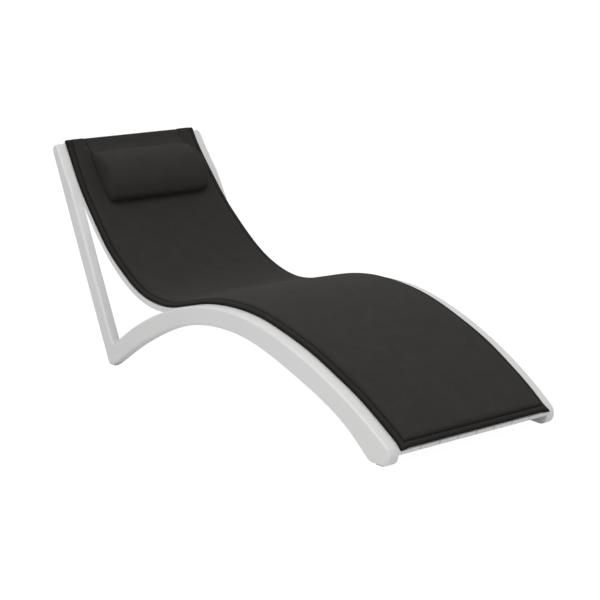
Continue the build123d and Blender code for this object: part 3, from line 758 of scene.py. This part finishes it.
PAD_HEAD = -0.0035
PAD_END = DECK_LENGTH + 0.0015
PAD_LIFT = 0.0006
PAD_SPACING = 0.0055
EDGE_MIDDLE = 0.0045
UNDER_ROUND = 0.004
BEAD_HEIGHT = 0.0068
BORDER_HEIGHT = 0.0090
BORDER_RISE = 0.003
BORDER_PUFF = 0.0014
BINDING_SEAM, BINDING_SEAM_WIDTH = 0.0012, 0.0005
GROOVE_DEPTH, GROOVE_WIDTH = 0.0042, 0.0019
SEAM_HALF = 0.0012
GATHER_PITCH = 0.0135
BORDER_GATHER, PANEL_GATHER = 0.00035, 0.0005
PANEL_LOW = BORDER_HEIGHT - 0.001
PANEL_EDGE = 0.0150
PANEL_CROWN = 0.0195
CROWN_POWER = 2.2
SHOULDER, SHOULDER_SOFTNESS = 0.011, 0.08
FOOT_RAMP = 0.012
HEAD_RIM = 0.0075
CORNER_PUFF = 0.0042
CORNER_REACH = 0.030
SIDE_DRAW = 0.0038
SIDE_WAVE, SIDE_WAVE_PITCH, SIDE_WAVE_FADE = 0.0008, 0.21, 0.2
FOOT_DRAW, FOOT_DRAW_REACH = 0.0040, 0.10
HEAD_DRAW, HEAD_DRAW_REACH = 0.0055, 0.05
BACK_WIDENING, WIDE_TO, WIDE_FADE = 0.0035, 0.30, 0.35
STRAP_HALF = 0.161
STRAP_THICKNESS = 0.0024
HELD_PAST, HELD_FADE = 0.005, 0.012
PRESSED_PAST, PRESSED_FADE, PRESSED_GAP = 0.016, 0.015, 0.0004
STRAP_STATIONS = (-0.0018, 0.006, 0.030, 0.0585)
STRAP_HEIGHTS = (0.0110, 0.0118, 0.0142, 0.0262)

# Distances of the pad's outer grid lines from its edge, written in millimetres
edge_steps = np.array([
    0, 0.25, 0.7, 1.3, 1.9, 2.5, 3.1, 3.6, 4.0, 4.4, 5.0, 6.2, 8, 10, 12, 13.5, 14.6, 15.4, 16.1,
    16.8, 17.5, 18.3, 19.3, 20.6, 22.2, 24.2, 26.5, 29.5, 34, 40, 47,
]) / 1000


def pad_axis(reach):
    """Distances from one edge for every line of the pad's grid: close together at both edges."""
    between = reach - 2 * edge_steps[-1]
    middle = np.linspace(edge_steps[-1], reach - edge_steps[-1], int(between / PAD_SPACING) + 2)
    return np.concatenate([edge_steps[:-1], middle, reach - edge_steps[:-1][::-1]])


def ripple(s, y, pitch, turn, phase):
    """Waves over the pad in one direction, in metres of pitch."""
    return np.sin(2 * np.pi * (s * np.cos(turn) + y * np.sin(turn)) / pitch + phase)


def pad_surface():
    """Top grid: station, cross position and distances from the sides, the head and the foot."""
    length = PAD_END - PAD_HEAD
    rows = pad_axis(length)
    from_left = pad_axis(2 * PAD_HALF)
    to_end = length - rows
    half = (
        side_y(deck_place(PAD_HEAD + rows, 0.0)[0], PAD_HALF)
        - SIDE_DRAW * smooth(to_end / CORNER_REACH)
        + BACK_WIDENING * (1 - smooth((rows - WIDE_TO) / WIDE_FADE))
        - SIDE_WAVE * np.sin(2 * np.pi * rows / SIDE_WAVE_PITCH) * smooth(to_end / SIDE_WAVE_FADE)
    )
    # Lines near a side keep their distance from it; those between share the rest
    fine = len(edge_steps)
    y = np.empty((len(rows), len(from_left)))
    y[:, :fine] = half[:, None] - from_left[None, :fine]
    y[:, -fine:] = -half[:, None] + from_left[None, :fine][:, ::-1]
    inner = np.linspace(1, -1, len(from_left) - 2 * fine + 2)
    y[:, fine - 1:len(from_left) - fine + 1] = (half[:, None] - edge_steps[-1]) * inner[None]
    side_in = np.minimum(from_left, 2 * PAD_HALF - from_left)
    drawn = FOOT_DRAW * smooth((half[:, None] - np.abs(y)) / CORNER_REACH)
    # The strap holds the head end back between its corners
    held = HEAD_DRAW * smooth((STRAP_HALF + HELD_PAST - np.abs(y)) / HELD_FADE)
    near_foot = 1 - smooth(to_end / FOOT_DRAW_REACH)
    near_head = 1 - smooth(rows / HEAD_DRAW_REACH)
    s = PAD_HEAD + rows[:, None] - drawn * near_foot[:, None] + held * near_head[:, None]
    distances = (side_in, rows[:, None], to_end[:, None])
    return s, y, *(np.broadcast_to(distance, y.shape) for distance in distances)


def plain_crown(y):
    """Height of the filled panel between its seams, before the filling's swells."""
    across = np.clip(np.abs(y) / (PAD_HALF - BORDER), 0, 1)
    return PANEL_EDGE + (PANEL_CROWN - PANEL_EDGE) * (1 - across ** CROWN_POWER)


def crown_height(s, y):
    """Height of the filled panel with soft swells over it."""
    swell, small_swell = ripple(s, y, 0.31, 0.2, 0.4), ripple(s, y, 0.23, 1.1, 2.0)
    return plain_crown(y) + 0.0006 * swell + 0.0004 * small_swell


def strap_height(s):
    """Height of the strap's middle over the pad's head end."""
    return np.interp(s, STRAP_STATIONS, STRAP_HEIGHTS)


def pad_top(s, y, d_side, d_head, d_foot):
    """Height of the pad's top: bound edge, soft border, sewn groove, shoulder and crown.

    Border and panel are each a formula of the distance from the edge, and meet in the groove.
    """
    d = np.minimum(d_side, d_foot)
    border = (
        EDGE_MIDDLE + (BEAD_HEIGHT - EDGE_MIDDLE) * round_rise(d, BINDING / 2)
        + (BORDER_HEIGHT - BEAD_HEIGHT) * smooth((d - BINDING) / BORDER_RISE)
        + BORDER_PUFF * np.sin(np.pi * np.clip((d - BINDING) / (BORDER - BINDING), 0, 1))
        - BINDING_SEAM * bell(d - BINDING, BINDING_SEAM_WIDTH)
    )
    along = np.where(d_side < d_foot, s, y)
    uneven = 0.6 + 0.4 * np.sin(along * 23 + 1)
    gather = np.sin(2 * np.pi * along / GATHER_PITCH + 1.3 * np.sin(along * 61)) * uneven
    border = border + BORDER_GATHER * gather * bell(d - BORDER * 0.75, 0.005)
    ramps = [(d_side - BORDER) / SHOULDER, (d_foot - BORDER) / FOOT_RAMP]
    t = np.clip(soft_min(ramps, SHOULDER_SOFTNESS), 0, 1)
    pucker = PANEL_GATHER * gather * bell(t - 0.35, 0.3)
    shoulder = np.sqrt(1 - (1 - t) ** 2)
    panel = PANEL_LOW + (crown_height(s, y) - PANEL_LOW + pucker) * shoulder
    blend = smooth((d - BORDER + SEAM_HALF) / (2 * SEAM_HALF))
    top = border * (1 - blend) + panel * blend
    top = top - GROOVE_DEPTH * bell(d - BORDER, GROOVE_WIDTH)
    # The head corners are puffy
    puffy = CORNER_PUFF * round_rise(d_side, 0.008) * (1 - smooth((d_side - 0.012) / 0.02))
    top = top + puffy * (1 - smooth(d_head / 0.045))
    top = EDGE_MIDDLE + (top - EDGE_MIDDLE) * round_rise(d_head, HEAD_RIM)
    # The pillow's strap presses the head end down
    under = smooth((STRAP_HALF + PRESSED_PAST - np.abs(y)) / PRESSED_FADE)
    limit = np.maximum(strap_height(s) - STRAP_THICKNESS / 2 - PRESSED_GAP, EDGE_MIDDLE)
    return top + (np.minimum(top, limit) - top) * under, along, d


def pad_piece():
    """Closed pad: the top grid and a flat underside that share the edge."""
    s, y, d_side, d_head, d_foot = pad_surface()
    top, along, d = pad_top(s, y, d_side, d_head, d_foot)
    rise = round_rise(np.minimum(d, d_head), UNDER_ROUND)
    bottom = EDGE_MIDDLE - (EDGE_MIDDLE - PAD_LIFT) * rise
    rows, columns = s.shape
    grids = []
    for height in (top, bottom):
        x, z = deck_place(s, height)
        grids.append(np.stack([x, y, z], -1))
    index = np.arange(rows * columns).reshape(rows, columns)
    lower = index + rows * columns
    edge = np.zeros((rows, columns), bool)
    edge[0] = edge[-1] = edge[:, 0] = edge[:, -1] = True
    lower[edge] = index[edge]
    used = np.concatenate([index.ravel(), lower[~edge]])
    place = np.full(2 * rows * columns, -1)
    place[used] = np.arange(len(used))
    points = np.concatenate([grid.reshape(-1, 3) for grid in grids])[used]
    uv = np.concatenate([np.stack([s, y], -1).reshape(-1, 2)] * 2)[used]
    faces = np.concatenate([grid_quads(index)[:, ::-1], grid_quads(lower)])
    piece = make_piece("seat_cushion", points, place[faces], pad_cloth, uv)
    for name, values in (("edge", d), ("along", along)):
        layer = piece.data.attributes.new(name, "FLOAT", "POINT")
        layer.data.foreach_set("value", np.tile(values.ravel(), 2)[used].astype(np.float32))
    return piece


cushion = pad_piece()
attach(cushion, "lounger")
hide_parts("seat_pad")


# Pillow: a loaf with a flat back, a domed front and leaf-shaped ends

PILLOW_HALF = 0.1680
PILLOW_GAP = 0.0016
END_BULGE, END_SQUARENESS, END_DOME = 0.008, 6, 1.9
PILLOW_TOP = 0.0525
PILLOW_FOOT = 0.2185
PILLOW_CENTRE = (0.1480, 0.052)
BACK_POINTS = 30
FILLED, SLACKENED, SLACK_REACH = 1.015, 0.035, 0.05
DIMPLE, FINE_DIMPLE = 0.0012, 0.0008

# Front of the section from the foot to the top, as stations and heights, and its end directions
PILLOW_FRONT = [
    (PILLOW_FOOT, 0.0230), (PILLOW_FOOT + 0.0045, 0.0440), (0.2030, 0.0672),
    (0.1610, 0.0800), (0.1180, 0.0758), (0.0800, 0.0560), (PILLOW_TOP, 0.0300),
]
FRONT_LEAVES, FRONT_ARRIVES = 72, -136


def pillow_section():
    """Closed section as stations and heights: along the pad, then over the front to the top."""
    stations = np.linspace(PILLOW_TOP, PILLOW_FOOT - 0.002, BACK_POINTS)
    back = np.stack([stations, np.full(BACK_POINTS, PANEL_EDGE)], -1)
    return np.concatenate([back, soft_curve(PILLOW_FRONT, FRONT_LEAVES, FRONT_ARRIVES)[:-1]])


def pillow_piece():
    """Pillow: the section carried across, shrinking to a point over each domed leaf-shaped end.

    An end stands out by its bulge times a root of 1 less a high power of the section's share.
    """
    section = pillow_section()
    centre = np.array(PILLOW_CENTRE)
    rim_shares = 1 - 0.1 * np.cos(np.linspace(0.15, 1, 8) * np.pi / 2)
    shares = np.concatenate([np.linspace(0.03, 0.90, 12), rim_shares])
    dome = (1 - shares ** END_SQUARENESS) ** (1 / END_DOME)
    reach = PILLOW_HALF - END_BULGE
    ends = reach + END_BULGE * dome
    near_end = np.array([0.6, 1.2, 1.9, 2.7, 3.8, 5.5]) / 1000
    between = np.linspace(1, -1, 58) * (reach - 0.008)
    middle = np.concatenate([reach - near_end, between, (near_end - reach)[::-1]])
    y = np.concatenate([ends, middle, -ends[::-1]])
    share = np.concatenate([shares, np.ones(len(middle)), shares[::-1]])
    # The filling slackens near the ends
    slack = FILLED - SLACKENED * (1 - smooth((reach - np.abs(y)) / SLACK_REACH))
    # A seam joins each end panel to the front: a narrow ridge with the cloth drawn in behind it
    past = (reach - np.abs(y)) * 1000
    seam = 0.012 * bell(past - 0.2, 0.9) - 0.010 * bell(past - 2.9, 1.3)
    ring = centre + (section - centre)[None] * (share * slack + seam)[:, None, None]
    # The front has a few soft dimples
    s, height = ring[..., 0], ring[..., 1]
    yy = np.broadcast_to(y[:, None], s.shape)
    dimple = DIMPLE * np.sin(yy * 41 + 0.5) * np.sin(s * 50)
    dimple = dimple + FINE_DIMPLE * np.sin(yy * 83 + 1.1 + s * 30)
    height = height + dimple * smooth((height - 0.045) / 0.03)
    height = np.maximum(height, plain_crown(yy) + PILLOW_GAP)
    x, z = deck_place(s, height)
    points = np.stack([x, yy, z], -1)
    rows, columns = x.shape
    on_cloth = np.broadcast_arrays(lengths_along(section)[None], yy + 0.05 * (1 - share)[:, None])
    uv = np.stack(on_cloth, -1).reshape(-1, 2)
    # Each end closes on a point in the middle of its last ring
    poles = [points[row].mean(0) + (0, lift, 0) for row, lift in ((0, 0.0001), (-1, -0.0001))]
    first = np.arange(columns)
    following = np.roll(first, -1)
    last, pole = (rows - 1) * columns, np.full(columns, rows * columns)
    fans = np.stack([
        np.stack([pole, following, first], -1),
        np.stack([pole + 1, last + first, last + following], -1),
    ], 1)
    faces = [*tube_quads(rows, columns).tolist(), *fans.reshape(-1, 3).tolist()]
    points = np.concatenate([points.reshape(-1, 3), poles])
    uv = np.concatenate([uv, [(0.1, 0.2), (0.1, -0.2)]])
    return make_piece("head_pillow", points, faces, pillow_cloth, uv)


pillow = pillow_piece()
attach(pillow, "pillow")
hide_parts("pillow")


# Strap: over the head end from the pillow's top seam, then down to the weight behind the back

WRAP_HANG = 0.012
REAR_LENGTH = 0.128
STRAP_GAP = 0.0006
STRAP_EDGE = 0.003
STRAP_COLUMNS = 66
STRAP_STARTS, STRAP_BENDS = 0.062, 0.030


def band_piece(name, path, half, material):
    """Flat band along the middle line given in side view, with rounded edges.

    Its thickness falls to about a third over each edge in a quarter round.
    """
    path = np.array(path)
    lengths = lengths_along(path)
    tangent = np.gradient(path, lengths, axis=0)
    tangent /= np.linalg.norm(tangent, axis=1, keepdims=True)
    normal = np.stack([-tangent[:, 1], tangent[:, 0]], -1)
    across = np.linspace(-half, half, STRAP_COLUMNS)
    full = 0.35 + 0.65 * round_rise(half - np.abs(across), STRAP_EDGE)
    thick = STRAP_THICKNESS / 2 * full
    loop_y = np.concatenate([across, across[::-1]])
    loop_h = np.concatenate([thick, -thick[::-1]])
    x = path[:, 0:1] + normal[:, 0:1] * loop_h[None]
    z = path[:, 1:2] + normal[:, 1:2] * loop_h[None]
    points = np.stack([x, np.broadcast_to(loop_y[None], x.shape), z], -1)
    rows, columns = x.shape
    uv = np.stack(np.broadcast_arrays(lengths[:, None], loop_y[None]), -1)
    upper = np.arange(STRAP_COLUMNS)
    lower = columns - 1 - upper
    end = np.stack([upper[:-1], upper[1:], lower[1:], lower[:-1]], -1)
    other_end = end[:, ::-1] + (rows - 1) * columns
    faces = np.concatenate([tube_quads(rows, columns), end, other_end])
    return make_piece(name, points, faces.tolist(), material, uv)


def rounded_path(corners, radii, spacing=0.003):
    """Path through corners with each inner one rounded."""
    corners = [np.array(corner) for corner in corners]
    pieces = [corners[0][None]]
    for before, corner, after, radius in zip(corners, corners[1:], corners[2:], radii):
        heading_in = np.degrees(np.arctan2(*(corner - before)[::-1]))
        heading_out = np.degrees(np.arctan2(*(after - corner)[::-1]))
        pieces.append(corner_arc(corner, heading_in, heading_out, radius, 8))
    pieces.append(corners[-1][None])
    rough = np.concatenate(pieces)
    lengths = lengths_along(rough)
    even = np.unique(np.concatenate([np.arange(0, lengths[-1], spacing), lengths]))
    return np.stack([np.interp(even, lengths, rough[:, axis]) for axis in (0, 1)], -1)


off = STRAP_GAP + STRAP_THICKNESS / 2
wrap_corner = np.array(deck_place(-off, -SLAT_THICKNESS - off))
wrap_end = wrap_corner - (0, WRAP_HANG)
over_pad = [deck_place(s, strap_height(s)) for s in (STRAP_STARTS, STRAP_BENDS, -off)]
front_path = rounded_path([*over_pad, wrap_corner, wrap_end], [0.03, 0.007, 0.0035])
front_strap = band_piece("front_strap", front_path, STRAP_HALF, band_cloth)
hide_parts("pillow_flap", "flap_wrap")
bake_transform(front_strap)

rear_top = wrap_end[1]
drop = np.linspace(0, REAR_LENGTH + 0.001, 40)
sway = 0.0004 * np.sin(np.pi * drop / drop[-1])
rear_path = np.stack([wrap_end[0] - sway, rear_top - drop], -1)
rear_strap = band_piece("rear_strap_band", rear_path, STRAP_HALF, band_cloth)
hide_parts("rear_strap")
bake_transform(rear_strap)

SLEEVE_HALF = 0.150
SLEEVE_HALF_HEIGHT, SLEEVE_HALF_THICK = 0.026, 0.008
SLEEVE_FULL_TO = 0.90


def squarish(wave, power):
    """Wave from -1 to 1 with its flanks filled out by a power below 1."""
    return np.sign(wave) * np.abs(wave) ** power


def sleeve_piece():
    """Sleeve of the weight: a long pocket, full in the middle and flat where its ends are sewn."""
    low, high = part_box("counterweight")
    middle = (low[2] + high[2]) / 2
    turns = np.linspace(0, 2 * np.pi, 48, endpoint=False)
    y = np.concatenate([
        np.linspace(1, 0.93, 8), np.linspace(0.92, -0.92, 60), np.linspace(-0.93, -1, 8),
    ]) * SLEEVE_HALF
    past = np.clip((np.abs(y) / SLEEVE_HALF - SLEEVE_FULL_TO) / 0.10, 0, 1)
    full = np.sqrt(np.clip(1 - past ** 2, 0.02, 1))
    shape_z = squarish(np.sin(turns), 0.7) * SLEEVE_HALF_HEIGHT
    shape_x = squarish(np.cos(turns), 0.8) * SLEEVE_HALF_THICK
    lump = 1 + 0.05 * np.sin(y * 57)[:, None] * np.sin(turns * 2)[None]
    x = wrap_end[0] + shape_x[None] * full[:, None] * lump * 0.96
    z = middle + shape_z[None] * (0.94 + 0.05 * full[:, None])
    points = np.stack([x, np.broadcast_to(y[:, None], x.shape), z], -1)
    rows, columns = x.shape
    faces = tube_quads(rows, columns).tolist()
    faces.append(list(range(columns)))
    faces.append(list(range((rows - 1) * columns, rows * columns))[::-1])
    uv = np.stack(np.broadcast_arrays(turns[None] * 0.012, y[:, None]), -1)
    return make_piece("weight_sleeve", points, faces, band_cloth, uv)


sleeve = sleeve_piece()
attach(sleeve, "counterweight")
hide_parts("counterweight")


# CAD pieces that stay get their materials by kind, and the resin ones rounded edges

EDGE_WELD = 0.00001
EDGE_BEVEL = 0.0009
EDGE_ANGLE = 50


def dress(name, material):
    """Give a CAD piece one material in its own slots."""
    node = bpy.data.objects[name]
    if not node.material_slots:
        node.data.materials.append(material)
    for slot in node.material_slots:
        slot.material = material
    return node


resin_nodes = [f"slat_{number}_{label}" for number in range(1, 5) for label in ("left", "right")]
resin_nodes += [f"{name}_rail" for name in ("head", "thigh", "knee", "calf", "foot")]
resin_nodes += ["lumbar_batten", "seat_batten"]
for name in resin_nodes:
    node = dress(name, resin)
    node.modifiers.new("weld", "WELD").merge_threshold = EDGE_WELD
    bevel = node.modifiers.new("moulded_edges", "BEVEL")
    bevel.width = EDGE_BEVEL
    bevel.segments = 2
    bevel.limit_method = "ANGLE"
    bevel.angle_limit = np.radians(EDGE_ANGLE)
    bevel.harden_normals = False
    even_shading(node)
for place in ("rear", "front"):
    for label in ("left", "right"):
        dress(f"{place}_glide_{label}", rubber)
for name in ("slat_screws", "frame_screws_left", "frame_screws_right"):
    dress(name, steel)
for name in ("head_ties", "foot_ties"):
    dress(name, tie_cloth)


# Floor, light and camera

FLOOR_HALF = 40
FLOOR_GLOW = 1.17
GLOW_SHARE = 0.82
WORLD_STRENGTH = 0.5


def seen_directly(tree, operation):
    """What the camera sees straight, in a gloss or through glass."""
    path = put(tree, "ShaderNodeLightPath")
    seen = math_of(tree, operation, path.outputs["Is Camera Ray"], path.outputs["Is Glossy Ray"])
    return math_of(tree, operation, seen, path.outputs["Is Transmission Ray"])


def floor_material():
    """Pale floor that the camera sees as white, darkened only where the lounger shades it."""
    material, tree, shader = new_material("floor_pale")
    tone = ranged(tree, noise(tree, object_place(tree), 5.0, 3.0), 0.3, 0.7, 0.0, 1.0)
    feed(tree, shader, {
        "Base Color": mixed(tree, tone, opaque(0.80, 0.80, 0.80), opaque(0.82, 0.82, 0.82)),
        "Roughness": 0.9,
        "Specular IOR Level": 0.1,
    })
    glow = put(tree, "ShaderNodeEmission", {"Color": opaque(1, 1, 1), "Strength": FLOOR_GLOW})
    seen = math_of(tree, "MINIMUM", seen_directly(tree, "ADD"), 1.0)
    inputs = {0: times(tree, seen, GLOW_SHARE), 1: shader.outputs[0], 2: glow.outputs[0]}
    mix = put(tree, "ShaderNodeMixShader", inputs)
    feed(tree, tree.nodes["Material Output"], {"Surface": mix.outputs[0]})
    return material


corners = np.array([(-1, -1, 0), (1, -1, 0), (1, 1, 0), (-1, 1, 0)]) * FLOOR_HALF
ground = make_piece("ground", corners, [(0, 1, 2, 3)], floor_material())


def add_area(name, place, target, size, power):
    """Square white area light aimed at a point."""
    light = bpy.data.lights.new(name, "AREA")
    light.shape = "SQUARE"
    light.size = size
    light.energy = power
    lamp = bpy.data.objects.new(name, light)
    lamp.location = place
    direction = Vector(target) - Vector(place)
    lamp.rotation_euler = direction.to_track_quat("-Z", "Y").to_euler()
    bpy.context.scene.collection.objects.link(lamp)


LIT_POINT = (0, 0, 0.2)
add_area("key", (1.5, -1.0, 3.6), LIT_POINT, size=2.6, power=60)
add_area("fill", (1.0, -3.6, 1.6), LIT_POINT, size=2.4, power=20)

world = bpy.data.worlds.new("studio")
world.use_nodes = True
bpy.context.scene.world = world
sky = world.node_tree
strength = ranged(sky, seen_directly(sky, "MAXIMUM"), 0.0, 1.0, WORLD_STRENGTH, 1.0)
feed(sky, sky.nodes["Background"], {"Color": opaque(1, 1, 1), "Strength": strength})

# Camera solved from the pad's edges, the frames' feet and the floor
lens = bpy.data.cameras.new("camera")
lens.lens = 104.135
lens.sensor_width = 36.0
camera = bpy.data.objects.new("camera", lens)
camera.location = (3.5599, -2.8354, 1.2983)
camera.rotation_euler = tuple(np.radians((76.722, 0.0, 50.8655)))
bpy.context.scene.collection.objects.link(camera)
bpy.context.scene.camera = camera
bpy.context.scene.view_settings.view_transform = "Standard"
